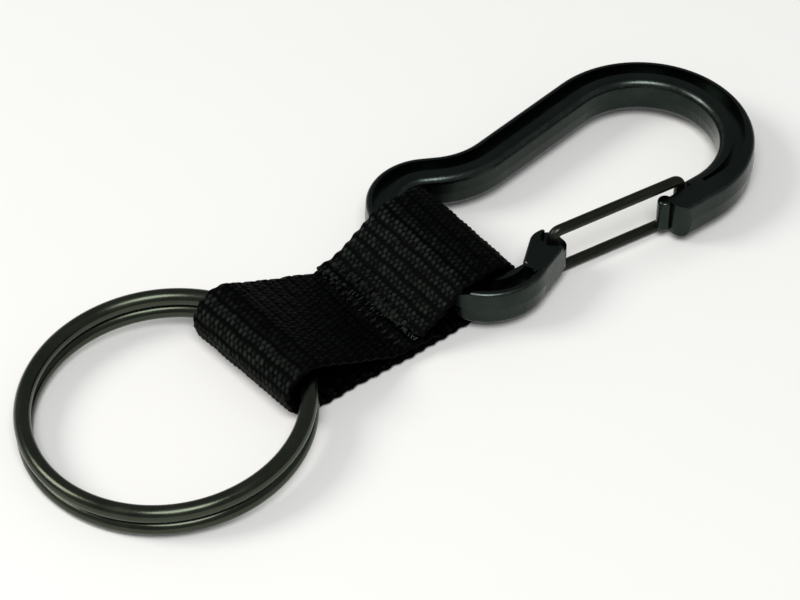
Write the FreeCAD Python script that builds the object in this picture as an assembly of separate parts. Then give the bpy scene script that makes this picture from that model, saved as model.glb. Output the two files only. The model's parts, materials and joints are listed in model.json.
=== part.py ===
import FreeCAD, Part
import math
import os

from FreeCAD import Vector

# Belt key clip: a wire-gate hook, a sewn webbing strap round its base bar and a split key ring.
# Sizes are millimetres. +X runs from the ring to the hook and +Z is up.
# The clip lies flat on z = 0, with the middle of its outline at the origin.

# Webbing strap
webbing_width = 18.8
webbing_thickness = 1.2
loop_gap = 0.2             # webbing to base bar
seat_gap = 0.4             # webbing to the hook's walls beside and before it
bar_loop_slack = 4.0       # the bar loop's round end lies this far past the bar's axis
seam_reach = 6.8           # from the bar's axis to where the top layer has come down to the seam
hook_tack_land = 2.3       # flat end of the top layer, which carries the hook-side bar tack
closed_length = 2.85       # two layers flat on each other, between the seam and the tunnel
tunnel_length = 12.6       # from the layers' parting to the key ring's swing axis
hidden_end_length = 1.2    # the inner end under the top layer, past the seam
bend_radius = 0.9          # inside radius of the webbing's small bends
tunnel_gap = 0.1           # webbing to the space that the ring sweeps
parting_bend_share = 0.85  # of the closed length, taken by the bend up to the tunnel

# Bar tacks
thread_diameter = 0.45
stitch_length = 1.35
stitch_pitch = 1.25
stitch_edge_margin = 0.9
stitch_corner_share = 0.6  # corner radius, of the thread's diameter

# Hook frame: the limb's sizes are taken on its centre line
hook_thickness = 5.2
bar_diameter = 4.9
limb_width = 5.0
limb_draft = 0.16          # the side walls stand out by this much at mid-height
outer_edge_radius = 0.6
inner_edge_radius = 1.1
bow_radius = 12.6
bow_reach = 37.2           # base bar to the middle of the bow
spine_angle = 8.5
waist_radius = 12.0
shoulder_angle = 29.5
shoulder_wall = 5.9        # from the strap's seat to the shoulder's outer face
corner_radius = 6.05
lug_wall = 3.65            # from the strap's seat to the lug side's outer face
lug_turn = 27.0            # the corner on the lug's side goes on this far past its lowest point

# Grooves in the hook's faces
groove_depth = 1.25
rim_width = 0.95
groove_width = 1.9
groove_end_width = 0.55
groove_end_offset = 0.4    # the groove's nose end lies this far inside the limb's centre line
groove_end_rise = 0.3      # and this far past the middle of the bow
lug_groove_turn = 22.0     # the lug-side groove runs this far past the corner's lowest point

# Nose
nose_step = 1.9            # from the middle of the bow to the notch for the wire loop
notch_length = 3.4
notch_depth = 1.6
nose_tip_length = 0.8
nose_tip_radius = 2.0
bead_radius = 1.05
bead_height = 5.0
bead_edge_radius = 0.45
notch_gap = 0.3            # wire loop to the notch's walls

# Wire gate
gate_wire = 1.5
strand_gap = 0.05          # wire strands to the lug's faces
foot_clearance = 0.05
foot_depth = 1.25          # length of each foot inside its hole
elbow_radius = 1.0
loop_radius = 1.1

# Lug
lug_length = 5.8           # from the strap's seat to the gate's pivot
pivot_inset = 1.5          # from the side of the strap's seat in to the gate's pivot
lug_end = 1.45
lug_inner_half = 2.3       # from the pivot to the lug's inner side
lug_outer_half = 1.7       # and to its outer side
lug_shoulder = 0.5         # the lug's inner side starts this far inside the strap's edge
lug_angle = 39.0           # and rises towards the gate at this angle
lug_root_round = 0.5
lug_round = 2.4
lug_inner_round = 2.0
lug_outer_round = 1.6
lug_edge_radius = 0.45
tongue_thickness = 3.4
recess_radius = 1.6        # the tongue starts with a round step about the pivot

# Split ring
ring_outer_diameter = 38.0
ring_wire = 2.2
turn_gap = 0.14
ring_step_angle = 30.0
ring_end_angle = 3.0

overrun = 2.0              # cutting tools run this far past what they cut
same_point = 1e-7          # points closer than this are one point
gap_samples = 40           # points per edge when the gap between the ring's turns is measured

# Places that follow from the sizes above, measured from the base bar's axis
wire_radius = gate_wire / 2
half_thickness = hook_thickness / 2
half_limb = limb_width / 2
bar_radius = bar_diameter / 2
strand_height = half_thickness + strand_gap + wire_radius
bar_z = max(webbing_thickness + loop_gap + bar_radius, strand_height + wire_radius)
loop_inner = bar_z - webbing_thickness
loop_outer = bar_z
seat_half = webbing_width / 2 + seat_gap
seat_reach = bar_loop_slack + loop_outer + seat_gap
pivot = Vector(seat_reach + lug_length, pivot_inset - seat_half, 0)
step_x = bow_reach - nose_step
notch_floor = -(bow_radius - half_limb + notch_depth)
bead_x = step_x - notch_length - bead_radius
nose_x = step_x - notch_length - nose_tip_length
gate_loop = Vector(step_x - notch_gap - wire_radius, notch_floor + notch_gap + wire_radius, 0)

ring_wire_radius = ring_wire / 2
ring_radius = ring_outer_diameter / 2 - ring_wire_radius
turn_rise = ring_wire + turn_gap
ring_inner_chord = math.sqrt((ring_radius - ring_wire_radius) ** 2 - (webbing_width / 2) ** 2)
sweep_half = (ring_outer_diameter / 2 - ring_inner_chord) / 2
sweep_offset = sweep_half - ring_wire_radius
ring_center_offset = ring_radius - sweep_offset
tunnel_radius = math.hypot(sweep_offset, turn_rise / 2) + ring_wire_radius + tunnel_gap
foot_rise = bar_z - 2 * webbing_thickness
slope_angle = math.asin(loop_inner / math.hypot(seam_reach, foot_rise)) + math.atan2(foot_rise, seam_reach)
slope_corner = loop_inner * math.tan(slope_angle / 2)
cut_end = seam_reach + hook_tack_land
parting = cut_end + closed_length
swing_reach = parting + tunnel_length
swing_z = webbing_thickness + tunnel_radius
ring_far = ring_center_offset + ring_radius
ring_tilt = (math.asin((swing_z - ring_wire_radius) / math.hypot(ring_far, turn_rise / 2))
             - math.atan2(turn_rise / 2, ring_far))
ring_end_x = -(swing_reach + ring_far * math.cos(ring_tilt) + ring_wire_radius
               + turn_rise / 2 * math.sin(ring_tilt))
hook_end_x = bow_reach + bow_radius + half_limb
bar_place = Vector(-(hook_end_x + ring_end_x) / 2, 0, 0)


def line_crossing(point, direction, other_point, other_direction):
    """Where two lines of one plane cross."""
    normal = direction.cross(other_direction)
    share = (other_point - point).cross(other_direction).dot(normal) / normal.dot(normal)
    return point + direction * share


def rounded_edges(points, radii):
    """Straight runs through the points, with a tangent arc of the given radius at each inner point."""
    edges = []
    start = points[0]
    for before, corner, after, radius in zip(points, points[1:], points[2:], radii):
        incoming = (before - corner).normalize()
        outgoing = (after - corner).normalize()
        half_angle = incoming.getAngle(outgoing) / 2
        leg = radius / math.tan(half_angle)
        first = corner + incoming * leg
        last = corner + outgoing * leg
        inward = (incoming + outgoing).normalize()
        middle = corner + inward * (radius / math.sin(half_angle) - radius)
        if not first.isEqual(start, same_point):
            edges.append(Part.makeLine(start, first))
        edges.append(Part.Arc(first, middle, last).toShape())
        start = last
    if not start.isEqual(points[-1], same_point):
        edges.append(Part.makeLine(start, points[-1]))
    return edges


def bend_radius_for(points, leg):
    """The radius of the tangent arc that begins this far before the middle one of three points."""
    before, corner, after = points
    return leg * math.tan((before - corner).getAngle(after - corner) / 2)


def offset_points(points, distance, up):
    """The open chain of points moved to its right-hand side, as seen against the up direction."""
    directions = [(after - before).normalize() for before, after in zip(points, points[1:])]
    moved = [points[0] + directions[0].cross(up) * distance]
    for corner, incoming, outgoing in zip(points[1:], directions, directions[1:]):
        near = corner + incoming.cross(up) * distance
        far = corner + outgoing.cross(up) * distance
        moved.append(line_crossing(near, incoming, far, outgoing))
    moved.append(points[-1] + directions[-1].cross(up) * distance)
    return moved


def prism(points, radii, bottom, height):
    """A closed outline in the XY plane, rounded at each of its points, as a solid."""
    ring = [(points[0] + points[-1]) / 2] + points + [(points[0] + points[-1]) / 2]
    face = Part.Face(Part.Wire(rounded_edges(ring, radii)))
    face.translate(Vector(0, 0, bottom))
    return face.extrude(Vector(0, 0, height))


def round_pipe(edges, diameter, start, direction):
    """A round rod along the edges, which begin at the start point in the given direction."""
    section = Part.Wire([Part.makeCircle(diameter / 2, start, direction)])
    return Part.Wire(edges).makePipeShell([section], True, False)


def box_between(low, high):
    """A box given by two opposite corners."""
    size = high - low
    return Part.makeBox(size.x, size.y, size.z, low)


def spine_line():
    """A point of the spine's centre line, and its direction towards the base."""
    turn = math.radians(spine_angle)
    touch = Vector(bow_reach - bow_radius * math.sin(turn), bow_radius * math.cos(turn), 0)
    return touch, Vector(-math.cos(turn), -math.sin(turn), 0)


def shoulder_line():
    """A point of the straight between shoulder and waist, and its direction towards the base."""
    turn = math.radians(shoulder_angle)
    center = Vector(corner_radius, seat_half + shoulder_wall - half_limb - corner_radius, 0)
    touch = center + Vector(math.sin(turn), math.cos(turn), 0) * corner_radius
    return touch, Vector(-math.cos(turn), math.sin(turn), 0)


def limb_points():
    """The corners of the limb's centre line, from the nose round the bow to the base bar."""
    up_y = Vector(0, 1, 0)
    base = Vector(0, 0, 0)
    far = Vector(bow_reach + bow_radius, 0, 0)
    spine, spine_way = spine_line()
    shoulder, shoulder_way = shoulder_line()
    return [
        Vector(nose_x, -bow_radius, 0),
        Vector(bow_reach + bow_radius, -bow_radius, 0),
        line_crossing(far, up_y, spine, spine_way),
        line_crossing(spine, spine_way, shoulder, shoulder_way),
        line_crossing(base, up_y, shoulder, shoulder_way),
        base,
    ]


def lug_corner_center():
    """The middle of the round corner on the lug's side of the base bar."""
    return Vector(corner_radius, -(seat_half + lug_wall - half_limb - corner_radius), 0)


def limb_path():
    """The whole centre line: nose, bow, spine, waist, shoulder, base bar and the lug's corner."""
    center = lug_corner_center()
    low = center.y - corner_radius
    turn = math.radians(lug_turn)
    bend = Vector(center.x + corner_radius * math.tan(turn / 2), low, 0)
    end = center + Vector(math.sin(turn), -math.cos(turn), 0) * corner_radius
    points = limb_points()[:-1] + [Vector(0, low, 0), bend, end]
    radii = [bow_radius, bow_radius, waist_radius, corner_radius, corner_radius, corner_radius]
    return Part.Wire(rounded_edges(points, radii))


def limb_section():
    """The limb's cross-section at the nose: rounded edges, side walls that lean out to mid-height."""
    outer = -bow_radius - half_limb
    inner = -bow_radius + half_limb
    top = half_thickness
    points = [
        Vector(nose_x, outer, 0),
        Vector(nose_x, outer + limb_draft, top),
        Vector(nose_x, inner - limb_draft, top),
        Vector(nose_x, inner, 0),
        Vector(nose_x, inner - limb_draft, -top),
        Vector(nose_x, outer + limb_draft, -top),
        Vector(nose_x, outer, 0),
    ]
    upper = rounded_edges(points[:4], [outer_edge_radius, inner_edge_radius])
    lower = rounded_edges(points[3:], [inner_edge_radius, outer_edge_radius])
    return Part.Wire(upper + lower)


def both_faces(outline):
    """Cutting tools of the groove's depth for the hook's upper and lower face."""
    face = Part.Face(outline)
    tools = []
    for side in (1, -1):
        tool = face.extrude(Vector(0, 0, side * (groove_depth + overrun)))
        tool.translate(Vector(0, 0, side * (half_thickness - groove_depth)))
        tools.append(tool)
    return tools


def main_grooves():
    """Grooves along shoulder, spine and bow, which narrow and move inwards towards the nose."""
    up = Vector(0, 0, 1)
    outer_offset = half_limb - rim_width
    inner_offset = outer_offset - groove_width
    end_outer = -(bow_radius - groove_end_offset)
    end_inner = end_outer + groove_end_width
    end_x = bow_reach + groove_end_rise
    sides = []
    for offset, end_y in ((outer_offset, end_outer), (inner_offset, end_inner)):
        points = offset_points(limb_points(), offset, up)
        points[0] = Vector(end_x, end_y, 0)
        points[1].y = end_y
        radii = [-end_y, bow_radius + offset, waist_radius - offset, corner_radius + offset]
        sides.append(rounded_edges(points, radii))
    nose_end = Part.Arc(Vector(end_x, end_outer, 0),
                        Vector(end_x - groove_end_width / 2, (end_outer + end_inner) / 2, 0),
                        Vector(end_x, end_inner, 0)).toShape()
    base_end = Part.makeLine(Vector(-outer_offset, 0, 0), Vector(-inner_offset, 0, 0))
    return both_faces(Part.Wire(Part.sortEdges(sides[0] + sides[1] + [nose_end, base_end])[0]))


def lug_grooves():
    """Grooves round the corner on the lug's side, which end before the flat lug."""
    center = lug_corner_center()
    outer = corner_radius + half_limb - rim_width
    inner = outer - groove_width
    start = math.pi
    end = math.radians(270 + lug_groove_turn)

    def spot(radius, angle):
        return center + Vector(math.cos(angle), math.sin(angle), 0) * radius

    middle = (start + end) / 2
    edges = [
        Part.Arc(spot(outer, start), spot(outer, middle), spot(outer, end)).toShape(),
        Part.makeLine(spot(outer, end), spot(inner, end)),
        Part.Arc(spot(inner, end), spot(inner, middle), spot(inner, start)).toShape(),
        Part.makeLine(spot(inner, start), spot(outer, start)),
    ]
    return both_faces(Part.Wire(edges))


def lug_body():
    """The flat round-ended lug that carries the gate's feet, with a thinner tongue at its end."""
    center = lug_corner_center()
    turn = math.radians(lug_turn)
    root = center + Vector(math.sin(turn), -math.cos(turn), 0) * (corner_radius + half_limb - limb_draft)
    inner_side = pivot.y + lug_inner_half
    shoulder = Vector(seat_reach, -seat_half + lug_shoulder, 0)
    points = [
        Vector(seat_reach, -seat_half - lug_wall / 2, 0),
        shoulder,
        Vector(shoulder.x + (inner_side - shoulder.y) / math.tan(math.radians(lug_angle)), inner_side, 0),
        Vector(pivot.x + lug_end, inner_side, 0),
        Vector(pivot.x + lug_end, pivot.y - lug_outer_half, 0),
        root,
    ]
    radii = [lug_root_round, lug_root_round, lug_round, lug_inner_round, lug_outer_round, lug_root_round]
    lug = prism(points, radii, -half_thickness, hook_thickness)
    rims = [edge for edge in lug.Edges if edge.BoundBox.ZLength < half_thickness]
    lug = lug.makeFillet(lug_edge_radius, rims)
    for side in (1, -1):
        near = side * tongue_thickness / 2
        far = side * (half_thickness + overrun)
        foot = Vector(pivot.x, pivot.y, near)
        step = Part.makeCylinder(recess_radius, abs(far - near), foot, Vector(0, 0, side))
        end = box_between(Vector(pivot.x, pivot.y - lug_outer_half - overrun, min(near, far)),
                          Vector(pivot.x + lug_end + overrun, inner_side + overrun, max(near, far)))
        lug = lug.cut(step.fuse(end))
    return lug


def strap_seat():
    """The space that the strap takes between the shoulder and the lug."""
    low = Vector(-half_thickness - overrun, -seat_half, -half_thickness - overrun)
    high = Vector(seat_reach, seat_half, half_thickness + overrun)
    return box_between(low, high)


def base_bar(limb):
    """The stretch of the limb in the strap's seat, turned round."""
    return limb.common(Part.makeCylinder(bar_radius, 2 * seat_half, Vector(0, -seat_half, 0),
                                         Vector(0, 1, 0)))


def nose_cutters():
    """The notch that takes the wire loop, the cut behind the bead and the rounded tip."""
    reach = half_thickness + overrun
    notch = box_between(Vector(nose_x - overrun, notch_floor, -reach),
                        Vector(step_x, notch_floor + notch_depth + overrun, reach))
    outer = -bow_radius - half_limb
    corner = box_between(Vector(nose_x - overrun, outer - overrun, -reach),
                         Vector(nose_x + nose_tip_radius, outer + nose_tip_radius, reach))
    rounding = Part.makeCylinder(nose_tip_radius, 2 * reach,
                                 Vector(nose_x + nose_tip_radius, outer + nose_tip_radius, -reach))
    return [notch, corner.cut(rounding)]


def hook_frame():
    """The forged frame: grooved limb, base bar, lug with the gate's holes, and hooked nose."""
    sweep = Part.BRepOffsetAPI.MakePipeShell(limb_path())
    sweep.setBiNormalMode(Vector(0, 0, 1))
    sweep.add(limb_section())
    sweep.build()
    sweep.makeSolid()
    limb = sweep.shape()
    bar = base_bar(limb)
    for tool in main_grooves() + lug_grooves() + nose_cutters():
        limb = limb.cut(tool)
    bead = Part.makeCylinder(bead_radius, bead_height, Vector(bead_x, notch_floor, -bead_height / 2))
    bead = bead.makeFillet(bead_edge_radius, [edge for edge in bead.Edges if edge.Closed])
    frame = limb.fuse([bead, lug_body()]).cut(strap_seat()).fuse(bar)
    hole_radius = wire_radius + foot_clearance
    hole_depth = foot_depth + foot_clearance
    for side in (1, -1):
        mouth = Vector(pivot.x, pivot.y, side * (tongue_thickness / 2 + overrun))
        frame = frame.cut(Part.makeCylinder(hole_radius, hole_depth + overrun, mouth, Vector(0, 0, -side)))
    return frame.removeSplitter()


def wire_gate():
    """The hairpin gate: a foot in the lug, a strand, the loop behind the nose, and back."""
    up = Vector(0, 0, 1)
    foot_end = tongue_thickness / 2 - foot_depth
    points = [
        pivot + up * foot_end,
        pivot + up * strand_height,
        gate_loop + up * strand_height,
        gate_loop - up * strand_height,
        pivot - up * strand_height,
        pivot - up * foot_end,
    ]
    edges = rounded_edges(points, [elbow_radius, loop_radius, loop_radius, elbow_radius])
    return round_pipe(edges, gate_wire, points[0], up)


def tunnel_tangent(radius, z):
    """Where a line from the layers' parting, at the height z, touches the ring loop's round end."""
    center = Vector(-swing_reach, 0, swing_z)
    away = Vector(-parting, 0, z) - center
    turn = math.atan2(away.z, away.x) + math.acos(radius / away.Length)
    return center + Vector(math.cos(turn), 0, math.sin(turn)) * radius


def drop_points():
    """The underside of the bar loop's top layer: round the bar, down to the seam, flat to its end."""
    return [
        Vector(bar_loop_slack, 0, bar_z + loop_inner),
        Vector(-slope_corner, 0, bar_z + loop_inner),
        Vector(-seam_reach, 0, 2 * webbing_thickness),
        Vector(-cut_end, 0, 2 * webbing_thickness),
    ]


def strap_outline():
    """The strap's outside in side view: bottom, bar loop, drop, cut end, ring loop."""
    top = offset_points(drop_points(), webbing_thickness, Vector(0, -1, 0))
    loop_top = top[0]
    loop_side = Vector(bar_loop_slack + loop_outer, 0, bar_z)
    loop_bottom = Vector(bar_loop_slack, 0, 0)
    outer = tunnel_radius + webbing_thickness
    ring_bottom = Vector(-swing_reach, 0, 0)
    ring_side = Vector(-swing_reach - outer, 0, swing_z)
    ring_touch = tunnel_tangent(outer, 2 * webbing_thickness)
    seam = Vector(-cut_end, 0, 2 * webbing_thickness)
    level = Vector(-parting, 0, 2 * webbing_thickness)
    edges = [Part.makeLine(ring_bottom, loop_bottom), Part.Arc(loop_bottom, loop_side, loop_top).toShape()]
    edges += rounded_edges(top, [loop_outer, bend_radius])
    edges.append(Part.makeLine(top[-1], seam))
    rise = [seam, level, ring_touch]
    edges += rounded_edges(rise, [bend_radius_for(rise, closed_length * parting_bend_share)])
    edges.append(Part.Arc(ring_touch, ring_side, ring_bottom).toShape())
    return Part.Wire(edges)


def bar_tunnel():
    """The space inside the bar loop, with the inner end of the strip as a step in its floor."""
    points = drop_points()
    loop_side = Vector(bar_loop_slack + loop_inner, 0, bar_z)
    loop_bottom = Vector(bar_loop_slack, 0, webbing_thickness)
    hidden_end = hidden_end_length - seam_reach
    edges = [Part.Arc(loop_bottom, loop_side, points[0]).toShape()]
    edges += rounded_edges(points[:3], [loop_inner])
    edges.append(Part.makeLine(points[2], Vector(hidden_end, 0, points[2].z)))
    edges.append(Part.makeLine(Vector(hidden_end, 0, points[2].z), Vector(hidden_end, 0, webbing_thickness)))
    edges.append(Part.makeLine(Vector(hidden_end, 0, webbing_thickness), loop_bottom))
    return Part.Wire(edges)


def ring_tunnel():
    """The space inside the ring loop, which narrows to where the layers meet."""
    touch = tunnel_tangent(tunnel_radius, webbing_thickness)
    side = Vector(-swing_reach - tunnel_radius, 0, swing_z)
    bottom = Vector(-swing_reach, 0, webbing_thickness)
    meet = Vector(-parting, 0, webbing_thickness)
    return Part.Wire([Part.makeLine(meet, touch), Part.Arc(touch, side, bottom).toShape(),
                      Part.makeLine(bottom, meet)])


def across_strap(wire):
    """A side-view outline as a solid of the webbing's width."""
    face = Part.Face(wire)
    face.translate(Vector(0, -webbing_width / 2, 0))
    return face.extrude(Vector(0, webbing_width, 0))


def bar_tack(middle, layers):
    """A row of stitches across the strap, each a closed loop of thread through the layers."""
    top = layers * webbing_thickness
    bottom = thread_diameter / 2
    half = (stitch_length - thread_diameter) / 2
    room = webbing_width / 2 - stitch_edge_margin
    per_side = int(room / stitch_pitch)
    stitches = []
    for index in range(-per_side, per_side + 1):
        y = index * stitch_pitch
        start = Vector(-middle, y, top)
        points = [
            start,
            Vector(-middle + half, y, top),
            Vector(-middle + half, y, bottom),
            Vector(-middle - half, y, bottom),
            Vector(-middle - half, y, top),
            start,
        ]
        edges = rounded_edges(points, [thread_diameter * stitch_corner_share] * 4)
        stitches.append(round_pipe(edges, thread_diameter, start, Vector(1, 0, 0)))
    return Part.Compound(stitches)


def webbing_strap(tacks):
    """The sewn strip of webbing, with the holes that its stitches fill."""
    strap = across_strap(strap_outline()).cut(across_strap(bar_tunnel())).cut(across_strap(ring_tunnel()))
    return strap.cut([stitch for tack in tacks for stitch in tack.Solids])


def arc_from(start, direction, end):
    """The arc that leaves the start in the given direction and ends at the end point."""
    chord = end - start
    along = Vector(chord).normalize()
    bulge = (direction - along * direction.dot(along)).normalize()
    sagitta = chord.Length / 2 * math.tan(direction.getAngle(along) / 2)
    return Part.Arc(start, start + chord / 2 + bulge * sagitta, end).toShape()


def ring_path():
    """Two flat turns, each nearly a full circle, joined by a short step of two tangent arcs."""
    half_step = math.radians(ring_step_angle) / 2
    end_space = half_step + math.radians(ring_end_angle)
    low = -turn_rise / 2
    high = turn_rise / 2

    def spot(angle, z, radius=ring_radius):
        return Vector(radius * math.cos(angle), radius * math.sin(angle), z)

    def turn(first, last, z):
        stations = [first + (last - first) * quarter / 4 for quarter in range(5)]
        return [Part.Arc(spot(a, z), spot((a + b) / 2, z), spot(b, z)).toShape()
                for a, b in zip(stations, stations[1:])]

    crossing = spot(0, 0, math.hypot(ring_radius, turn_rise / 2))
    step_start = spot(-half_step, low)
    step_end = spot(half_step, high)
    leaving = Vector(math.sin(half_step), math.cos(half_step), 0)
    arriving = Vector(math.sin(half_step), -math.cos(half_step), 0)
    edges = turn(end_space, 2 * math.pi - half_step, low)
    edges.append(arc_from(step_start, leaving, crossing))
    edges.append(arc_from(step_end, arriving, crossing))
    edges += turn(half_step, 2 * math.pi - end_space, high)
    start = spot(end_space, low)
    direction = Vector(-math.sin(end_space), math.cos(end_space), 0)
    return edges, start, direction


def least_turn_gap(edges):
    """The least distance between the wire's two turns, measured on points along the path."""
    points = []
    for edge in edges:
        points += edge.discretize(gap_samples)
    apart = math.pi * ring_radius
    spots = [(index, point) for index, point in enumerate(points)]
    spacing = sum(edge.Length for edge in edges) / len(points)
    return min(a.distanceToPoint(b) for i, a in spots for j, b in spots
               if (j - i) * spacing > apart) - ring_wire


def split_ring():
    """The two-turn key ring, swung down about its axis in the strap until it touches the ground."""
    edges, start, direction = ring_path()
    print("least gap between the ring's turns: %.3f mm" % least_turn_gap(edges))
    ring = round_pipe(edges, ring_wire, start, direction)
    ring.translate(Vector(-swing_reach - ring_center_offset, 0, swing_z))
    ring.rotate(Vector(-swing_reach, 0, swing_z), Vector(0, 1, 0), -math.degrees(ring_tilt))
    return ring


def main():
    os.makedirs("parts", exist_ok=True)
    hook_tack = bar_tack(cut_end - hook_tack_land / 2, 3)
    ring_tack = bar_tack(parting - closed_length / 2, 2)
    frame = hook_frame()
    gate = wire_gate()
    for piece in (frame, gate):
        piece.translate(Vector(0, 0, bar_z))
    nodes = {
        "hook_frame": frame,
        "wire_gate": gate,
        "webbing_strap": webbing_strap([hook_tack, ring_tack]),
        "bar_tack_hook_side": hook_tack,
        "bar_tack_ring_side": ring_tack,
        "split_ring": split_ring(),
    }
    for name, shape in nodes.items():
        shape.translate(bar_place)
        shape.exportStep("parts/%s.step" % name)
        print(name, "solids", len(shape.Solids), "valid", shape.isValid(), "volume %.1f" % shape.Volume)


main()
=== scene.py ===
import json
import math

import bpy
import numpy as np
from bpy.props import FloatProperty, FloatVectorProperty, IntProperty, PointerProperty
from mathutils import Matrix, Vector


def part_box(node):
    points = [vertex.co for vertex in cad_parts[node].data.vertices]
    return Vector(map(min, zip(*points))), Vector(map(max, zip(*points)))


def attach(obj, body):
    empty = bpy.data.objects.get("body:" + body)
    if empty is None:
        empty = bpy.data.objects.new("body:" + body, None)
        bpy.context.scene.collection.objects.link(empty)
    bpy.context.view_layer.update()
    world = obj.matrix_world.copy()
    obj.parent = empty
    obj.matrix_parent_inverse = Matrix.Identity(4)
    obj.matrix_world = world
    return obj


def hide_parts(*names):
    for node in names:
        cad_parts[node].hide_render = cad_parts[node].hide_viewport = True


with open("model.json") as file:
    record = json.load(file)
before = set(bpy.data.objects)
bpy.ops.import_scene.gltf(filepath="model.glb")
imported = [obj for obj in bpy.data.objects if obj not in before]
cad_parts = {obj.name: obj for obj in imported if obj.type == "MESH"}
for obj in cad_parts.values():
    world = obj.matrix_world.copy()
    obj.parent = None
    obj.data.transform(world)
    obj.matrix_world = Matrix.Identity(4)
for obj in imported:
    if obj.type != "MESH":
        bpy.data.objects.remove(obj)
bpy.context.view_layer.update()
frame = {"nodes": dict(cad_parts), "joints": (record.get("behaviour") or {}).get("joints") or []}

bl_info = {
    "name": "Belt Key Clip",
    "version": (1, 0, 0),
    "blender": (4, 5, 0),
    "location": "View3D > Sidebar > Key Clip",
    "description": "Dresses a belt key clip: anodised hook, wire gate, sewn webbing strap and split ring",
    "category": "Add Mesh",
}

JOINTS = {joint["name"]: Vector(joint["pos_m"]) for joint in frame["joints"]}
BAR = JOINTS["strap_swing"]
SWING = JOINTS["ring_swing"]
RING_LOW, RING_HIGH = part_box("split_ring")
MILLIMETRES = 1000.0    # in a metre, the unit of patterns on cloth
LINE_STEP = 0.00004     # between points of the strap's middle line


def size(name, description, default):
    """A length in metres that the panel shows in scene units."""
    return FloatProperty(name=name, description=description, default=default, unit="LENGTH", precision=5)


def ratio(name, description, default):
    """A plain number."""
    return FloatProperty(name=name, description=description, default=default)


def tint(name, description, default):
    """A colour that the panel shows as a swatch."""
    return FloatVectorProperty(name=name, description=description, default=default, subtype="COLOR",
                               size=3, min=0.0, max=1.0)


class WebbingSettings(bpy.types.PropertyGroup):
    """Sizes and colours of the webbing strap."""

    width: size("Width", "Width of the webbing between its selvedges", 0.0188)
    thickness: size("Thickness", "Thickness of one layer over the tops of its ribs", 0.0012)
    rib_height: size("Rib height", "Height of the woven ribs above the valleys", 0.00034)
    rib_pitch: size("Rib pitch", "Distance from rib to rib along the strap", 0.00180)
    knuckle_pitch: size("Knuckle pitch", "Distance from yarn knuckle to yarn knuckle along a rib", 0.00082)
    loop_slack: size("Loop slack", "How far the bar loop's round end lies past the bar", 0.004)
    seam_reach: size("Seam reach", "From the bar to where the top layer has come down to the seam", 0.0068)
    seam_bend: size("Seam bend", "How far the bend at the seam reaches to either side", 0.0021)
    cut_end: size("Cut end", "From the bar to the strap's cut end", 0.0095)
    cut_skew: size("Cut skew", "How much further the cut end reaches on one side", 0.0013)
    skew_length: size("Skew length", "How far back from the cut end the rows lie askew", 0.005)
    ragged_length: size("Ragged length", "How far back from the cut end the yarns are pulled out", 0.0016)
    pressed_length: size("Pressed length", "How far back from the cut end the tack presses the layer", 0.0026)
    pressed_share: ratio("Pressed share", "Share of its thickness that the layer keeps at the cut end", 0.30)
    parting: size("Parting", "From the bar to where the ring loop's layers part", 0.01195)
    hidden_end: size("Hidden end", "From the bar to the inner end under the top layer", 0.0056)
    fold_slack: size("Fold slack", "How far the ring loop's fold lies past the ring on average", 0.0013)
    fold_skew: size("Fold skew", "How much further the fold reaches on one side", 0.0007)
    fold_lift: ratio("Fold lift", "Lift of the upper layer for each length of slack", 0.26)
    softness: size("Softness", "How far the folds are rounded along the strap", 0.00055)
    # Painted light: the stretches set below are paler where the strap's slope and the ring loop's fold face
    # the key lamp, and the rest of the knuckles are held darker as painted shade.
    painted_light_length: size("Rubbed length", "How far from its cut end the strap is rubbed paler", 0.0095)
    painted_light_fade: size("Rubbed fade", "Length over which the rubbed stretch turns dark", 0.0038)
    painted_shade_share: ratio("Unrubbed share", "Paleness of the knuckles away from the rubbed stretches", 0.20)
    painted_fold_light_start: size("Fold rub start", "From the ring's axis to where the fold begins to pale", 0.0005)
    painted_fold_light_end: size("Fold rub end", "From the ring's axis to where the fold is palest", 0.0042)
    # Painted shade and highlight: the valley colour stands for the shade deep between the ribs, and the
    # knuckle colour stands for the highlight on their tops.
    dark: tint("Valley colour", "Colour of the yarn deep between the ribs", (0.0001, 0.00015, 0.0001))
    light: tint("Knuckle colour", "Colour of the yarn on the tops of the ribs", (0.0350, 0.0470, 0.0375))


class ThreadSettings(bpy.types.PropertyGroup):
    """Sizes and colours of the sewing thread and the loose yarn ends."""

    diameter: size("Diameter", "Diameter of the twisted sewing thread", 0.00045)
    stitch_length: size("Stitch length", "Length of a stitch along the strap", 0.00135)
    stitch_pitch: size("Stitch pitch", "Distance from stitch to stitch across the strap", 0.00125)
    sink: size("Sink", "How far the thread is pulled into the webbing", 0.00030)
    edge_margin: size("Edge margin", "Free width between the tack and the selvedge", 0.0009)
    hook_tack: size("Hook tack", "From the bar to the bar tack on the hook's side", 0.00795)
    ring_tack: size("Ring tack", "From the bar to the bar tack on the ring's side", 0.010525)
    yarn_ends: IntProperty(name="Yarn ends", description="Loose yarn ends along the cut edge", default=46)
    yarn_radius: size("Yarn radius", "Radius of a loose yarn end", 0.000045)
    colour: tint("Thread colour", "Colour of the sewing thread", (0.003, 0.004, 0.003))
    pale: tint("Yarn end colour", "Colour of the yarn ends that stand free at the edge", (0.22, 0.25, 0.24))


class MetalSettings(bpy.types.PropertyGroup):
    """Colours of the metal finishes."""

    hook: tint("Hook", "Anodised finish of the hook", (0.027, 0.036, 0.030))
    # The hook's edge colour is partly wear of the anodising and partly a painted highlight along the rounded
    # edges.
    hook_edge_wear_and_highlight: tint("Hook edges", "Worn finish on the hook's edges", (0.058, 0.068, 0.061))
    gate: tint("Gate wire", "Oxide finish of the gate's wire", (0.029, 0.032, 0.024))
    ring: tint("Ring", "Gunmetal plating of the split ring", (0.064, 0.073, 0.053))


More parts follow.
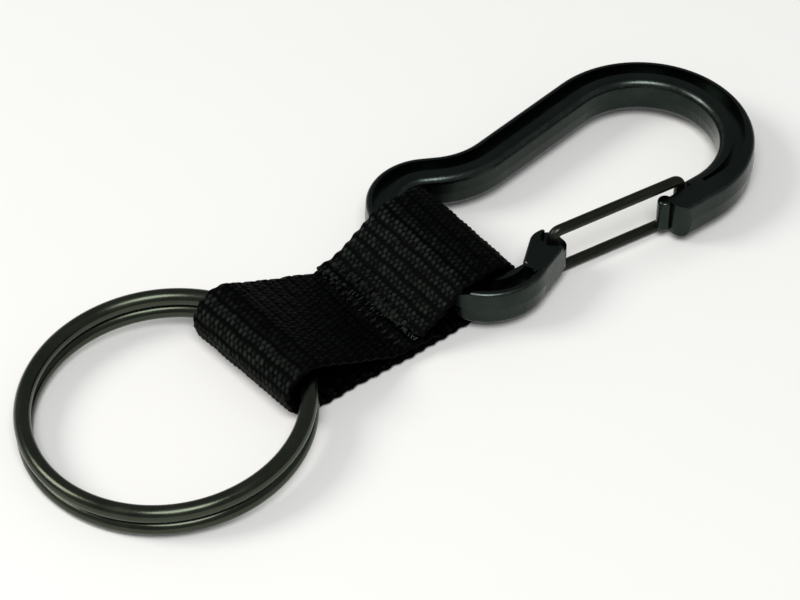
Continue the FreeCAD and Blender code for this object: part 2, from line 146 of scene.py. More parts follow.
class StageSettings(bpy.types.PropertyGroup):
    """Camera, light and floor."""

    lens: FloatProperty(name="Lens", description="Focal length of the camera", default=135.0, unit="CAMERA")
    distance: size("Distance", "From the camera to the point it looks at", 0.392)
    azimuth: FloatProperty(name="Azimuth", description="Direction that the camera stands in",
                           default=math.radians(-37.5), subtype="ANGLE")
    elevation: FloatProperty(name="Elevation", description="Height of the camera over the floor as an angle",
                             default=math.radians(45.0), subtype="ANGLE")
    aim_x: size("Aim", "Point on the clip's axis that the camera looks at", -0.000465)
    lamp_distance: size("Lamp distance", "From the lamps to the middle of the floor", 0.9)
    key_power: FloatProperty(name="Key light", description="Power of the soft lamp on the left",
                             default=3.4, unit="POWER")
    key_size: size("Key size", "Diameter of the lamp on the left", 0.42)
    key_height: ratio("Key height", "Height of the lamp on the left for each length that it stands off", 0.85)
    top_power: FloatProperty(name="Top light", description="Power of the soft lamp above the camera",
                             default=4.85, unit="POWER")
    top_size: size("Top size", "Diameter of the lamp above the camera", 0.46)
    top_lean: ratio("Top lean", "How far the upper lamp leans from overhead towards the camera", 1.7)
    fill: ratio("Fill", "Strength of the even light from all round", 0.285)
    floor: tint("Floor", "Colour of the floor", (0.95, 0.94, 0.91))
    floor_size: size("Floor size", "Side of the square floor", 4.0)
    floor_gap: size("Floor gap", "From the floor up to the clip's lowest point", 0.00002)


class KeyClipSettings(bpy.types.PropertyGroup):
    """All sizes and colours of the key clip."""

    webbing: PointerProperty(type=WebbingSettings)
    thread: PointerProperty(type=ThreadSettings)
    metal: PointerProperty(type=MetalSettings)
    stage: PointerProperty(type=StageSettings)


def deselect_all():
    """Leaves nothing selected, so that an operator acts on its own piece only."""
    if bpy.context.mode != "OBJECT":
        bpy.ops.object.mode_set(mode="OBJECT")
    bpy.ops.object.select_all(action="DESELECT")


def finish_mesh(seam_gap=None):
    """Turns the active mesh's faces outwards, after closing its seam and ends where a seam gap is given."""
    bpy.ops.object.mode_set(mode="EDIT")
    bpy.ops.mesh.select_all(action="SELECT")
    if seam_gap is not None:
        bpy.ops.mesh.remove_doubles(threshold=seam_gap)
        bpy.ops.mesh.fill_holes(sides=0)
        bpy.ops.mesh.select_all(action="SELECT")
    bpy.ops.mesh.normals_make_consistent(inside=False)
    bpy.ops.object.mode_set(mode="OBJECT")
    bpy.ops.object.shade_smooth()


def toned(colour, share):
    """The colour made darker or brighter by the share."""
    return tuple(share * part for part in colour)


class Finish:
    """A material under way: its node tree, with short calls for the nodes that the finishes use."""

    # The mix node's colour sockets come after its sockets for numbers and vectors
    mix_inputs = (6, 7)
    mix_output = 2

    def __init__(self, name):
        self.material = bpy.data.materials.new(name)
        self.material.use_nodes = True
        self.tree = self.material.node_tree
        self.shader = next(n for n in self.tree.nodes if n.type == "BSDF_PRINCIPLED")
        self.coordinates = self.tree.nodes.new("ShaderNodeTexCoord").outputs
        self.place = self.coordinates["Object"]

    def feed(self, socket, value):
        """Links the socket to another one, or sets it."""
        if isinstance(value, bpy.types.NodeSocket):
            self.tree.links.new(value, socket)
        else:
            socket.default_value = value

    def node(self, kind, inputs, **settings):
        """A new node with its settings and inputs."""
        node = self.tree.nodes.new(kind)
        for name, value in settings.items():
            setattr(node, name, value)
        for key, value in inputs.items():
            self.feed(node.inputs[key], value)
        return node

    def math(self, operation, *values, clamp=False):
        inputs = dict(enumerate(values))
        return self.node("ShaderNodeMath", inputs, operation=operation, use_clamp=clamp).outputs[0]

    def parts(self, vector):
        """The vector's X, Y and Z."""
        return self.node("ShaderNodeSeparateXYZ", {0: vector}).outputs

    def noise(self, vector, scale=1.0, detail=4.0, roughness=0.6):
        inputs = {"Vector": vector, "Scale": scale, "Detail": detail, "Roughness": roughness}
        return self.node("ShaderNodeTexNoise", inputs).outputs["Fac"]

    def stretched(self, vector, scale, turn=0.0):
        """The vector scaled, and turned about Z."""
        inputs = {"Vector": vector, "Scale": scale, "Rotation": (0.0, 0.0, turn)}
        return self.node("ShaderNodeMapping", inputs).outputs[0]

    def range(self, value, low=0.3, high=0.7, to_low=0.0, to_high=1.0):
        """The value eased from one range to another. The usual range is that of a noise."""
        inputs = {"Value": value, "From Min": low, "From Max": high, "To Min": to_low, "To Max": to_high}
        return self.node("ShaderNodeMapRange", inputs, interpolation_type="SMOOTHSTEP").outputs[0]

    def mix(self, factor, *colours):
        node = self.node("ShaderNodeMix", {0: factor}, data_type="RGBA")
        for index, colour in zip(self.mix_inputs, colours):
            solid = isinstance(colour, tuple)
            self.feed(node.inputs[index], (*colour, 1.0) if solid else colour)
        return node.outputs[self.mix_output]

    def bump(self, height, strength, distance, normal=None):
        inputs = {"Height": height, "Strength": strength, "Distance": distance}
        if normal is not None:
            inputs["Normal"] = normal
        return self.node("ShaderNodeBump", inputs).outputs[0]

    def surface(self, **inputs):
        """Sets or links the shader's inputs."""
        for key, value in inputs.items():
            self.feed(self.shader.inputs[key.replace("_", " ")], value)
        return self.material


def anodised_finish(colour, worn):
    """Satin black anodising: a fine blasted grain, faint cloudy patches, and rounded edges a little brighter,
    partly worn and partly a painted highlight.
    """
    finish = Finish("anodised_aluminium")
    grain = finish.noise(finish.place, scale=5200.0, detail=3.0)
    cloud = finish.noise(finish.place, scale=160.0, detail=5.0)
    streaks = finish.stretched(finish.place, scale=(240.0, 2600.0, 900.0), turn=0.5)
    rubs = finish.noise(streaks, detail=5.0, roughness=0.65)
    # The rounded edges between the walls and the top faces get a brighter colour, partly wear and partly a
    # painted highlight.
    upright = finish.math("ABSOLUTE", finish.parts(finish.coordinates["Normal"])["Z"])
    off_walls = finish.range(upright, low=0.22, high=0.55)
    off_faces = finish.range(upright, low=0.985, high=0.82)
    rim = finish.math("MULTIPLY", off_walls, off_faces, clamp=True)
    spots = finish.noise(finish.place, scale=620.0, detail=6.0, roughness=0.7)
    patchy = finish.range(spots, low=0.42, high=0.68)
    least_wear, patch_wear = 0.5, 0.7
    wear_share = finish.math("MULTIPLY_ADD", patchy, patch_wear, least_wear)
    edge_wear_and_highlight = finish.math("MULTIPLY", rim, wear_share, clamp=True)
    base = finish.mix(edge_wear_and_highlight, finish.mix(finish.range(cloud), toned(colour, share=0.72), colour), worn)
    gloss = finish.range(rubs, high=0.72, to_low=0.20, to_high=0.31)
    rough = finish.math("ADD", gloss, finish.range(grain, to_low=-0.03, to_high=0.05))
    fine = finish.bump(grain, strength=0.14, distance=0.00002)
    normal = finish.bump(rubs, strength=0.06, distance=0.00003, normal=fine)
    return finish.surface(Base_Color=base, Metallic=1.0, Roughness=rough, Normal=normal)


def oxide_wire_finish(colour):
    """Black oxide on drawn spring wire: die lines along the wire, and bright rubbed streaks."""
    finish = Finish("oxide_wire")
    lines = finish.noise(finish.stretched(finish.place, scale=(90.0, 5200.0, 5200.0)))
    cloud = finish.noise(finish.place, scale=420.0, detail=5.0)
    streaks = finish.stretched(finish.place, scale=(130.0, 1400.0, 1400.0))
    rubbed = finish.range(finish.noise(streaks, detail=5.0, roughness=0.7), low=0.55, high=0.78, to_high=0.5)
    cloudy = finish.mix(cloud, toned(colour, share=0.65), colour)
    base = finish.mix(rubbed, cloudy, toned(colour, share=2.6))
    rough = finish.range(lines, to_low=0.27, to_high=0.44)
    normal = finish.bump(lines, strength=0.16, distance=0.00002)
    return finish.surface(Base_Color=base, Metallic=0.9, Roughness=rough, Normal=normal)


def gunmetal_finish(colour, middle):
    """Gunmetal plating on ring wire: faint drawn lines round the ring, small nicks and cloudy gloss."""
    finish = Finish("gunmetal_plating")
    away = finish.node("ShaderNodeVectorMath", {0: finish.place, 1: middle}, operation="SUBTRACT").outputs[0]
    x, y, z = finish.parts(away)
    turn = finish.math("ARCTAN2", y, x)
    level = finish.node("ShaderNodeCombineXYZ", {0: x, 1: y}).outputs[0]
    reach = finish.node("ShaderNodeVectorMath", {0: level}, operation="LENGTH").outputs["Value"]
    round_ring = finish.node("ShaderNodeCombineXYZ", {0: turn, 1: reach, 2: z}).outputs[0]
    lines = finish.noise(finish.stretched(round_ring, scale=(3.0, 5200.0, 5200.0)))
    cloud = finish.noise(finish.place, scale=240.0, detail=5.0)
    nicks = finish.range(finish.noise(finish.place, scale=1900.0, detail=3.0, roughness=0.7),
                         low=0.68, high=0.76, to_high=0.4)
    cloudy = finish.mix(cloud, toned(colour, share=0.6), colour)
    base = finish.mix(nicks, cloudy, toned(colour, share=2.2))
    gloss = finish.range(cloud, to_low=0.17, to_high=0.27)
    rough = finish.math("ADD", gloss, finish.range(lines, to_low=-0.02, to_high=0.06))
    normal = finish.bump(lines, strength=0.12, distance=0.00002)
    return finish.surface(Base_Color=base, Metallic=1.0, Roughness=rough, Normal=normal)


def webbing_finish(settings, run):
    """Woven nylon: painted shade in the valleys, painted highlights on the knuckles, painted light where the
    slope and the ring's fold face the key lamp, and fine filaments along each yarn.
    """
    finish = Finish("woven_nylon")
    rise = finish.node("ShaderNodeAttribute", {}, attribute_name="rise").outputs["Fac"]
    girth = 2 * settings.width
    cloth = finish.stretched(finish.coordinates["UV"], scale=(run * MILLIMETRES, girth * MILLIMETRES, 1.0))
    filaments = finish.noise(finish.stretched(cloth, scale=(2.2, 17.0, 1.0), turn=0.12), detail=3.0)
    uneven = finish.noise(finish.stretched(cloth, scale=(0.9, 1.5, 1.0)))
    worn = finish.noise(finish.place, scale=95.0, roughness=0.55)
    # Painted light: the stretch from the cut end up the slope is paler, as it faces the key lamp, and the
    # rest of the strap is held darker as painted shade.
    slope = finish.range(finish.parts(cloth)["X"], low=settings.painted_light_length * MILLIMETRES,
                         high=(settings.painted_light_length + settings.painted_light_fade) * MILLIMETRES,
                         to_low=1.0, to_high=settings.painted_shade_share)
    # Painted light: the ring loop's fold is paler where it faces the key lamp.
    fold = finish.range(finish.parts(finish.place)["X"], low=SWING.x - settings.painted_fold_light_start,
                        high=SWING.x - settings.painted_fold_light_end)
    shade = finish.math("MAXIMUM", slope, fold)
    # The weave's height paints shade into the valleys and a highlight onto the knuckles; the other layers are
    # random tone and filaments.
    for layer in (finish.range(rise, low=0.20, high=0.70),
                  finish.range(uneven, low=0.25, high=0.75, to_low=0.35),
                  finish.range(worn, to_low=0.6),
                  finish.range(filaments, to_low=0.35)):
        shade = finish.math("MULTIPLY", shade, layer, clamp=True)
    base = finish.mix(shade, tuple(settings.dark), tuple(settings.light))
    rough = finish.range(filaments, to_low=0.42, to_high=0.6)
    normal = finish.bump(filaments, strength=0.45, distance=0.00006)
    return finish.surface(Base_Color=base, Roughness=rough, Normal=normal, Specular_IOR_Level=0.03)


def thread_finish(colour):
    """Twisted nylon thread: soft filaments and a slight change of tone from stitch to stitch."""
    finish = Finish("sewing_thread")
    twist = finish.stretched(finish.place, scale=(9000.0, 16000.0, 9000.0), turn=0.6)
    filaments = finish.noise(twist, detail=3.0)
    tone = finish.noise(finish.place, scale=700.0, detail=3.0)
    least_tone, tone_spread = 0.5, 1.4
    shade = finish.math("MULTIPLY", filaments, finish.math("MULTIPLY_ADD", tone, tone_spread, least_tone))
    base = finish.mix(shade, toned(colour, share=0.45), colour)
    normal = finish.bump(filaments, strength=0.4, distance=0.00004)
    return finish.surface(Base_Color=base, Roughness=0.62, Normal=normal,
                          Specular_IOR_Level=0.2, Sheen_Weight=0.01)


def loose_yarn_finish(dark, pale, edge):
    """Loose nylon filaments, paler where they stand free of the strap beside its edge."""
    finish = Finish("loose_yarn")
    rooted_share, free_share = 0.80, 0.94
    across = finish.parts(finish.place)["Y"]
    free = finish.range(across, low=-rooted_share * edge, high=-free_share * edge)
    tone = finish.noise(finish.place, scale=900.0, detail=3.0)
    base = finish.mix(finish.math("MULTIPLY", free, tone), dark, pale)
    return finish.surface(Base_Color=base, Roughness=0.6, Specular_IOR_Level=0.2)


def floor_finish(colour):
    """Pale paper with a faint change of tone."""
    finish = Finish("floor_paper")
    base = finish.mix(finish.noise(finish.place, scale=35.0), toned(colour, share=0.985), colour)
    return finish.surface(Base_Color=base, Roughness=0.9, Specular_IOR_Level=0.1)


def dress(node, material):
    """Gives a CAD node its finish."""
    materials = frame["nodes"][node].data.materials
    materials.clear()
    materials.append(material)


def eased(value):
    """The value held between 0 and 1, with a soft start and end."""
    value = np.clip(value, 0, 1)
    return value * value * (3 - 2 * value)


def above(least, share):
    """The share squeezed in between a least value and 1."""
    return least + (1 - least) * share


def ripple(amount, rates, along, across, phase=0.0):
    """A wave over the strip, with its rates along it and across it in radians for each metre."""
    return amount * np.sin(rates[0] * along + rates[1] * across + phase)


def at_distances(places, distance, line):
    """Points of a line of XZ points at the given distances along it."""
    return np.stack([np.interp(places, distance, line[:, k]) for k in (0, 1)], 1)


def travelled(line):
    """Distance along a line of points from its first point to each point."""
    return np.concatenate(([0.0], np.cumsum(np.linalg.norm(np.diff(line, axis=0), axis=1))))


def straight_run(*corners):
    """Points along straight lines from corner to corner, without the last corner."""
    runs = []
    for start, end in zip(np.array(corners), np.array(corners)[1:]):
        count = max(2, int(np.linalg.norm(end - start) / LINE_STEP))
        runs.append(start + (end - start) * np.linspace(0, 1, count, endpoint=False)[:, None])
    return np.concatenate(runs)


def arc_run(x, z, radius, first, last):
    """Points along an arc, without its end."""
    turns = np.linspace(first, last, int(radius * abs(last - first) / LINE_STEP), endpoint=False)
    return np.stack((x + radius * np.cos(turns), z + radius * np.sin(turns)), 1)


def bent_corner(corner, reach, angle, count=9):
    """Points of a soft bend at the corner, from the level up to a slope at the angle."""
    share = np.linspace(0, 1, count)[:, None]
    corner = np.array(corner)
    before = corner - (reach, 0.0)
    after = corner + reach * np.array((math.cos(angle), math.sin(angle)))
    return (1 - share) ** 2 * before + 2 * share * (1 - share) * corner + share ** 2 * after


def softened(line, softness):
    """The line of points with its corners rounded, as stiff webbing rounds them."""
    reach = int(3 * softness / LINE_STEP)
    weights = np.exp(-0.5 * (np.arange(-reach, reach + 1) * LINE_STEP / softness) ** 2)
    weights /= weights.sum()
    first = line[0] + (line[0] - line[1]) * np.arange(reach, 0, -1)[:, None]
    last = line[-1] + (line[-1] - line[-2]) * np.arange(1, reach + 1)[:, None]
    padded = np.concatenate((first, line, last))
    return np.stack([np.convolve(padded[:, k], weights, "valid") for k in (0, 1)], 1)


def strap_line(cloth):
    """The strip's middle line in side view, from past its cut end round both loops to its hidden end."""
    half = cloth.thickness / 2
    second_layer = 1.5 * cloth.thickness
    third_layer = 2.5 * cloth.thickness
    loop_radius = BAR.z - half
    loop_x = BAR.x + cloth.loop_slack
    loop_top = BAR.z + loop_radius
    rise = BAR.z - 2 * cloth.thickness
    fall = math.asin((BAR.z - cloth.thickness) / math.hypot(cloth.seam_reach, rise))
    slope = fall + math.atan2(rise, cloth.seam_reach)
    crest = (BAR.x - loop_radius * math.sin(slope), BAR.z + loop_radius * math.cos(slope))
    foot = (crest[0] - (crest[1] - third_layer) / math.tan(slope), third_layer)
    ring_radius = SWING.z - half
    parting = np.array((BAR.x - cloth.parting, second_layer))
    away = parting - (SWING.x, SWING.z)
    touch = math.atan2(away[1], away[0]) + math.acos(ring_radius / np.linalg.norm(away))
    leave = (SWING.x + ring_radius * math.cos(touch), SWING.z + ring_radius * math.sin(touch))
    lead = 2 * cloth.cut_skew
    start = (BAR.x - cloth.cut_end - lead, third_layer)
    line = np.concatenate((
        straight_run(start, *bent_corner(foot, cloth.seam_bend, slope), crest),
        arc_run(BAR.x, BAR.z, loop_radius, math.pi / 2 + slope, math.pi / 2),
        straight_run((BAR.x, loop_top), (loop_x, loop_top)),
        arc_run(loop_x, BAR.z, loop_radius, math.pi / 2, -math.pi / 2),
        straight_run((loop_x, half), (SWING.x, half)),
        arc_run(SWING.x, SWING.z, ring_radius, 3 * math.pi / 2, touch),
        straight_run(leave, parting, (BAR.x - cloth.hidden_end, second_layer)),
    ))
    smooth = softened(line, cloth.softness)
    return travelled(smooth) - lead, smooth


class KEYCLIP_OT_hook(bpy.types.Operator):
    """Give the hook frame its anodised finish"""

    bl_idname = "keyclip.hook"
    bl_label = "Hook Frame"

    def execute(self, context):
        metal = context.scene.key_clip.metal
        dress("hook_frame", anodised_finish(tuple(metal.hook), tuple(metal.hook_edge_wear_and_highlight)))
        return {"FINISHED"}


class KEYCLIP_OT_gate(bpy.types.Operator):
    """Give the wire gate its oxide finish"""

    bl_idname = "keyclip.gate"
    bl_label = "Wire Gate"

    def execute(self, context):
        dress("wire_gate", oxide_wire_finish(tuple(context.scene.key_clip.metal.gate)))
        return {"FINISHED"}


class KEYCLIP_OT_ring(bpy.types.Operator):
    """Give the split ring its gunmetal plating"""

    bl_idname = "keyclip.ring"
    bl_label = "Split Ring"

    def execute(self, context):
        middle = tuple((RING_LOW + RING_HIGH) / 2)
        dress("split_ring", gunmetal_finish(tuple(context.scene.key_clip.metal.ring), middle))
        return {"FINISHED"}


class KEYCLIP_OT_webbing(bpy.types.Operator):
    """Weave the strap from one flat strip, folded round the hook's bar and the split ring"""

    bl_idname = "keyclip.webbing"
    bl_label = "Webbing Strap"

    stations = 424              # points along the strip
    outer_columns = 131         # points across its outer face
    inner_columns = 57
    edge_columns = 6
    edge_share = 0.42           # reach of the rounded selvedge, of the thickness
    edge_side = 0.98            # points nearer than this to mid-thickness belong to the selvedge
    edge_wave = 0.00011         # how far the selvedge goes in and out with each rib
    seam_gap = 1e-7             # points nearer than this are joined where the section closes
    slope_step = 0.0001         # distance ahead and behind for the line's direction

    # How far the cut end is pulled out at each yarn, and how far it waves
    yarn_pull = 0.00016
    cut_wave = 0.00014
    cut_wave_rates = (0.0, 2900.0)

    # How far the strap's sides sway along its length
    sway = 0.00007
    sway_rates = (410.0, 0.0)
    sway_phase = 1.2
    small_sway = 0.00005
    small_sway_rates = (1130.0, 260.0)

    # How far rows and knuckles stray, as shares of their pitches
    row_stray = 0.07
    row_stray_rates = (700.0, 1150.0)
    knuckle_stray = 0.10
    knuckle_stray_rates = (1900.0, 530.0)

    # Shapes of the weave: powers under 1 make full knuckles with narrow gaps, least values make shallow gaps
    groove_power = 0.7
    crease_power = 0.8
    crease_least = 0.42
    knuckle_power = 0.9
    knuckle_least = 0.14
    uneven_least = 0.52

    # Large factors that turn a knuckle's row and place into a height that looks like chance
    scatter_row = 12.9898
    scatter_spot = 78.233
    scatter_spread = 43758.5453

    def section(self, cloth):
        """The strip's cross-section: places across it, and their share of its half thickness."""
        edge = cloth.thickness * self.edge_share
        flat = cloth.width / 2 - edge
        outer = np.linspace(-flat, flat, self.outer_columns)
        inner = np.linspace(flat, -flat, self.inner_columns)
        turn = np.linspace(math.pi / 2, -math.pi / 2, self.edge_columns + 2)[1:-1]
        bulge = flat + edge * np.cos(turn)
        across = np.concatenate((outer, bulge, inner, -bulge, outer[:1]))
        top = np.ones_like(outer)
        side = np.concatenate((top, np.sin(turn), -np.ones_like(inner), -np.sin(turn), top[:1]))
        return across, side

    def weave(self, cloth, along, across):
        """Height of the woven surface from 0 in the valleys to 1 on the knuckles."""
        row = 2 * along / cloth.rib_pitch + ripple(self.row_stray, self.row_stray_rates, along, across)
        half_step = 0.5 * (np.floor(row) % 2)
        stray = ripple(self.knuckle_stray, self.knuckle_stray_rates, along, across)
        spot = across / cloth.knuckle_pitch + half_step + stray
        groove = np.abs(np.sin(math.pi * row / 2)) ** self.groove_power
        crease = above(self.crease_least, np.abs(np.sin(math.pi * row)) ** self.crease_power)
        knuckle = above(self.knuckle_least, np.abs(np.cos(math.pi * spot)) ** self.knuckle_power)
        scatter = np.sin(self.scatter_row * np.floor(row) + self.scatter_spot * np.round(spot))
        scatter = scatter * self.scatter_spread
        uneven = above(self.uneven_least, scatter - np.floor(scatter))
        return groove * crease * knuckle * uneven

    def cut_askew(self, cloth, along, across):
        """Distance along the strip, changed near the cut end, which is askew and ragged."""
        skew = cloth.cut_skew * across / (cloth.width / 2)
        ragged = (self.yarn_pull * np.cos(2 * math.pi * across / cloth.knuckle_pitch)
                  + ripple(self.cut_wave, self.cut_wave_rates, along, across))
        skewed = skew * np.clip(1 - along / cloth.skew_length, 0, 1)
        return along - skewed - ragged * np.clip(1 - along / cloth.ragged_length, 0, 1)

    def folded(self, cloth, distance, line, along, across, side, rise):
        """Places of the flat strip's points when it is folded along its line."""
        path = at_distances(along, distance, line)
        tangent = (at_distances(along + self.slope_step, distance, line)
                   - at_distances(along - self.slope_step, distance, line))
        tangent /= np.linalg.norm(tangent, axis=1)[:, None]
        core = cloth.thickness / 2 - cloth.rib_height
        pressed = above(cloth.pressed_share, eased(along / cloth.pressed_length))
        lift = pressed * (side * core + np.sign(side) * rise * cloth.rib_height)
        lift = lift - (1 - pressed) * cloth.thickness / 2
        parting = BAR.x - cloth.parting
        slack = cloth.fold_slack + cloth.fold_skew * across / (cloth.width / 2)
        reach = slack * eased((parting - path[:, 0]) / (parting - SWING.x))
        height = np.clip((path[:, 1] - SWING.z) / (SWING.z - cloth.thickness), 0, 1)
        room = cloth.fold_lift * reach * height
        sway = (ripple(self.sway, self.sway_rates, along, across, self.sway_phase)
                + ripple(self.small_sway, self.small_sway_rates, along, across))
        wave = self.edge_wave * np.cos(2 * math.pi * along / cloth.rib_pitch)
        selvedge = np.where(np.abs(side) < self.edge_side, np.sign(across) * wave, 0.0)
        x = path[:, 0] - reach - tangent[:, 1] * lift
        z = path[:, 1] + room + tangent[:, 0] * lift
        return np.stack((x, across + sway + selvedge, np.maximum(z, 0.0)), 1)

    def execute(self, context):
        cloth = context.scene.key_clip.webbing
        distance, line = strap_line(cloth)
        run = float(distance[-1])
        across_at, side_at = self.section(cloth)
        columns = len(across_at) - 1
        deselect_all()
        bpy.ops.mesh.primitive_grid_add(x_subdivisions=self.stations, y_subdivisions=columns, size=1.0)
        strap = context.active_object
        strap.name = "webbing"
        mesh = strap.data
        # The grid reaches from -0.5 to 0.5 both ways
        flat = np.zeros(len(mesh.vertices) * 3, np.float32)
        mesh.vertices.foreach_get("co", flat)
        share = flat.reshape(-1, 3).astype(float) + 0.5
        column = np.clip(np.round(share[:, 1] * columns).astype(int), 0, columns)
        across, side = across_at[column], side_at[column]
        along = self.cut_askew(cloth, share[:, 0] * run, across)
        rise = self.weave(cloth, along, across) * side ** 2
        place = self.folded(cloth, distance, line, along, across, side, rise)
        mesh.vertices.foreach_set("co", place.astype(np.float32).ravel())
        mesh.attributes.new("rise", "FLOAT", "POINT").data.foreach_set("value", rise.astype(np.float32))
        mesh.update()
        finish_mesh(self.seam_gap)
        mesh.materials.append(webbing_finish(cloth, run))
        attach(strap, "strap")
        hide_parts("webbing_strap")
        strap["flat_length"] = run
        return {"FINISHED"}


def tubes_from_lines(name, lines, radius, closed, roundness):
    """One mesh of round threads along the given lines of points."""
    deselect_all()
    bpy.ops.curve.primitive_nurbs_path_add()
    piece = bpy.context.active_object
    piece.name = name
    curve = piece.data
    curve.splines.clear()
    for points in lines:
        spline = curve.splines.new("POLY")
        spline.points.add(len(points) - 1)
        spline.points.foreach_set("co", np.concatenate((points, np.ones((len(points), 1))), 1).ravel())
        spline.use_cyclic_u = closed
    curve.dimensions = "3D"
    curve.bevel_depth = radius
    curve.bevel_resolution = roundness
    curve.use_fill_caps = not closed
    bpy.ops.object.convert(target="MESH")
    finish_mesh()
    return bpy.context.active_object


class KEYCLIP_OT_bar_tacks(bpy.types.Operator):
    """Sew both bar tacks, each a row of stitches of two-ply thread through the layers"""

    bl_idname = "keyclip.bar_tacks"
    bl_label = "Bar Tacks"

    points = 72                 # along each ply of a stitch
    twist_share = 2.4           # length of one twist, of the thread's diameter
    ply_swing_share = 0.24      # from the thread's middle to a ply's middle, of the diameter
    ply_radius_share = 0.27     # of the diameter
    skew_share = 0.8            # of the cut end's skew, taken by the tack beside it

    def stitch(self, thread, x, y, top, seed):
        """The two plies of one stitch, wound round each other along its closed path."""
        half = (thread.stitch_length - thread.diameter) / 2
        bottom = thread.diameter / 2
        corners = np.array(((half, top), (half, bottom), (-half, bottom), (-half, top), (half, top)))
        lengths = travelled(corners)
        at = np.linspace(0, lengths[-1], self.points, endpoint=False)
        path = at_distances(at, lengths, corners)
        path = (np.roll(path, 1, 0) + 2 * path + np.roll(path, -1, 0)) / 4
        turns = round(lengths[-1] / (self.twist_share * thread.diameter))
        middle = path - path.mean(0)
        outward = middle / np.linalg.norm(middle, axis=1)[:, None]
        swing = thread.diameter * self.ply_swing_share
        plies = []
        for ply in (0.0, math.pi):
            phase = 2 * math.pi * turns * at / lengths[-1] + ply + seed
            wound = path + outward * (swing * np.cos(phase))[:, None]
            plies.append(np.stack((x + wound[:, 0], y + swing * np.sin(phase), wound[:, 1]), 1))
        return plies

    def execute(self, context):
        settings = context.scene.key_clip
        cloth, thread = settings.webbing, settings.thread
        room = cloth.width / 2 - thread.edge_margin
        count = int(room / thread.stitch_pitch)
        cut_skew = self.skew_share * cloth.cut_skew / (cloth.width / 2)
        material = thread_finish(tuple(thread.colour))
        tacks = (("tack_thread_hook_side", "bar_tack_hook_side", thread.hook_tack, 3, cut_skew),
                 ("tack_thread_ring_side", "bar_tack_ring_side", thread.ring_tack, 2, 0.0))
        for name, node, reach, layers, skew in tacks:
            lines = []
            top = layers * cloth.thickness - thread.sink
            for index in range(-count, count + 1):
                y = index * thread.stitch_pitch
                lines += self.stitch(thread, BAR.x - reach - skew * y, y, top, index)
            radius = thread.diameter * self.ply_radius_share
            tack = tubes_from_lines(name, lines, radius, closed=True, roundness=1)
            tack.data.materials.append(material)
            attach(tack, "strap")
            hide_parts(node)
        return {"FINISHED"}


class KEYCLIP_OT_yarn_ends(bpy.types.Operator):
    """Add the loose yarn ends that stand out along the strap's cut edge"""

    bl_idname = "keyclip.yarn_ends"
    bl_label = "Yarn Ends"

    seed = 11
    points = 7                  # along each end
    side_room = 0.0004          # of the strap's width, left free of ends
    rooted = 0.0002             # length of an end that is still in the strap
    loose_start_share = 0.36    # from here out, of the width, ends stand looser and looser
    loose_run_share = 0.12
    height_least = 0.02         # lowest start of an end over the layer below, of the thickness
    height_spread = 0.30
    shortest = 0.0003
    length_spread = 0.0005
    loose_length = 0.0009       # added to the spread where ends are loose
    fan = 0.9                   # sideways spread, of an end's length
    loose_fan = 0.8             # added outwards where ends are loose
    droop = 0.3                 # of an end's length
    loose_lift = 0.6            # taken off the droop where ends are loose
    fan_power = 1.5             # how late along an end it turns sideways

    def end_line(self, cloth, chance):
        """Points of one yarn end, which is longer and freer near the strap's front edge."""
        y = (chance.random() - 0.5) * (cloth.width - self.side_room)
        loose = np.clip((-y / cloth.width - self.loose_start_share) / self.loose_run_share, 0, 1)
        x = BAR.x - cloth.cut_end - cloth.cut_skew * y / (cloth.width / 2)
        z = (2 + self.height_least + self.height_spread * chance.random()) * cloth.thickness
        length = self.shortest + (self.length_spread + self.loose_length * loose) * chance.random()
        side = (chance.random() - 0.5) * self.fan - self.loose_fan * loose * chance.random()
        droop = self.droop * chance.random() - self.loose_lift * loose * chance.random()
        steps = np.linspace(0, 1, self.points)
        return np.stack((x + self.rooted - length * steps, y + side * length * steps ** self.fan_power,
                         z - droop * length * steps ** 2), 1)

    def execute(self, context):
        settings = context.scene.key_clip
        cloth, thread = settings.webbing, settings.thread
        chance = np.random.default_rng(self.seed)
        lines = [self.end_line(cloth, chance) for _ in range(thread.yarn_ends)]
        ends = tubes_from_lines("yarn_ends", lines, thread.yarn_radius, closed=False, roundness=0)
        ends.data.materials.append(loose_yarn_finish(tuple(cloth.light), tuple(thread.pale), cloth.width / 2))
        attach(ends, "strap")
        return {"FINISHED"}


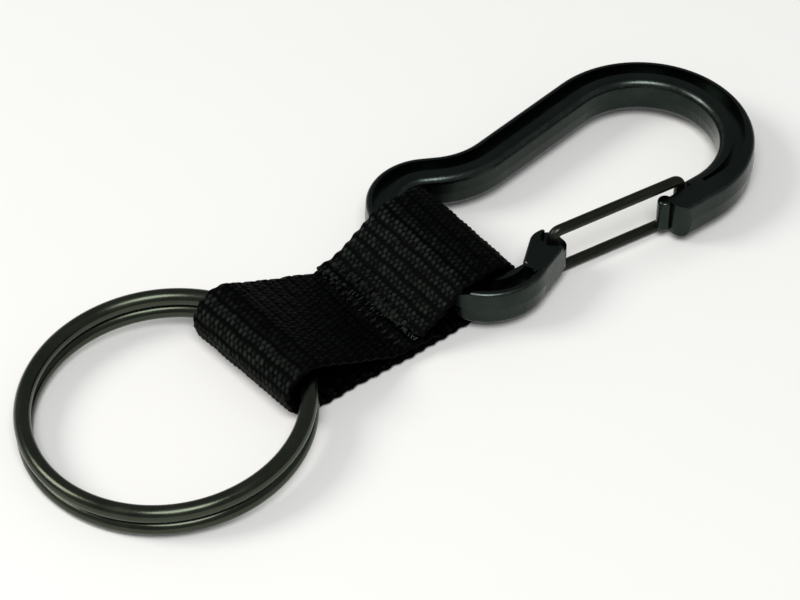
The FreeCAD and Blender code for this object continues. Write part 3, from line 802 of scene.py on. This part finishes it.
class KEYCLIP_OT_stage(bpy.types.Operator):
    """Set up the floor, the soft light and the camera"""

    bl_idname = "keyclip.stage"
    bl_label = "Stage"

    sky_colour = (0.93, 0.96, 1.0)
    key_colour = (1.0, 0.985, 0.95)
    top_colour = (0.985, 0.99, 1.0)
    sensor_width = 36.0
    clip_start = 0.01

    def floor(self, stage):
        deselect_all()
        bpy.ops.mesh.primitive_plane_add(size=stage.floor_size, location=(0.0, 0.0, -stage.floor_gap))
        plane = bpy.context.active_object
        plane.name = "floor"
        plane.data.materials.append(floor_finish(tuple(stage.floor)))

    def sky(self, scene, strength):
        world = scene.world or bpy.data.worlds.new("studio")
        scene.world = world
        world.use_nodes = True
        background = next(n for n in world.node_tree.nodes if n.type == "BACKGROUND")
        background.inputs["Color"].default_value = (*self.sky_colour, 1.0)
        background.inputs["Strength"].default_value = strength

    def lamp(self, name, place, width, power, colour):
        deselect_all()
        turn = place.to_track_quat("Z", "Y").to_euler()
        bpy.ops.object.light_add(type="AREA", location=place, rotation=turn)
        lamp = bpy.context.active_object
        lamp.name = name
        lamp.data.shape = "DISK"
        lamp.data.size = width
        lamp.data.energy = power
        lamp.data.color = colour

    def camera(self, scene, stage, back):
        deselect_all()
        aim = Vector((stage.aim_x, 0.0, 0.0))
        turn = back.to_track_quat("Z", "Y").to_euler()
        bpy.ops.object.camera_add(location=aim + back * stage.distance, rotation=turn)
        camera = bpy.context.active_object
        camera.name = "camera"
        camera.data.lens = stage.lens
        camera.data.sensor_width = self.sensor_width
        camera.data.clip_start = self.clip_start
        scene.camera = camera

    def execute(self, context):
        scene = context.scene
        stage = scene.key_clip.stage
        up = Vector((0.0, 0.0, 1.0))
        right = Vector((math.cos(stage.azimuth), math.sin(stage.azimuth), 0.0))
        away = right.cross(up)
        back = away * math.cos(stage.elevation) + up * math.sin(stage.elevation)
        key_place = (stage.key_height * up - right).normalized() * stage.lamp_distance
        top_place = (stage.top_lean * back + up).normalized() * stage.lamp_distance
        self.floor(stage)
        self.sky(scene, stage.fill)
        self.lamp("key_lamp", key_place, stage.key_size, stage.key_power, self.key_colour)
        self.lamp("top_lamp", top_place, stage.top_size, stage.top_power, self.top_colour)
        self.camera(scene, stage, back)
        scene.view_settings.view_transform = "Standard"
        return {"FINISHED"}


OPERATORS = (KEYCLIP_OT_hook, KEYCLIP_OT_gate, KEYCLIP_OT_ring, KEYCLIP_OT_webbing, KEYCLIP_OT_bar_tacks,
             KEYCLIP_OT_yarn_ends, KEYCLIP_OT_stage)


class KEYCLIP_PT_pieces(bpy.types.Panel):
    """Lists the clip's pieces and their settings"""

    bl_label = "Key Clip"
    bl_space_type = "VIEW_3D"
    bl_region_type = "UI"
    bl_category = "Key Clip"

    def draw(self, context):
        layout = self.layout
        for operator in OPERATORS:
            layout.operator(operator.bl_idname)
        settings = context.scene.key_clip
        for group in (settings.webbing, settings.thread, settings.metal, settings.stage):
            box = layout.box()
            for name in group.__annotations__:
                box.prop(group, name)


CLASSES = (WebbingSettings, ThreadSettings, MetalSettings, StageSettings, KeyClipSettings, *OPERATORS,
           KEYCLIP_PT_pieces)


def register():
    for item in CLASSES:
        bpy.utils.register_class(item)
    bpy.types.Scene.key_clip = PointerProperty(type=KeyClipSettings)


def unregister():
    del bpy.types.Scene.key_clip
    for item in reversed(CLASSES):
        bpy.utils.unregister_class(item)


def main():
    register()
    bpy.ops.keyclip.hook()
    bpy.ops.keyclip.gate()
    bpy.ops.keyclip.ring()
    bpy.ops.keyclip.webbing()
    bpy.ops.keyclip.bar_tacks()
    bpy.ops.keyclip.yarn_ends()
    bpy.ops.keyclip.stage()


if __name__ == "__main__":
    main()
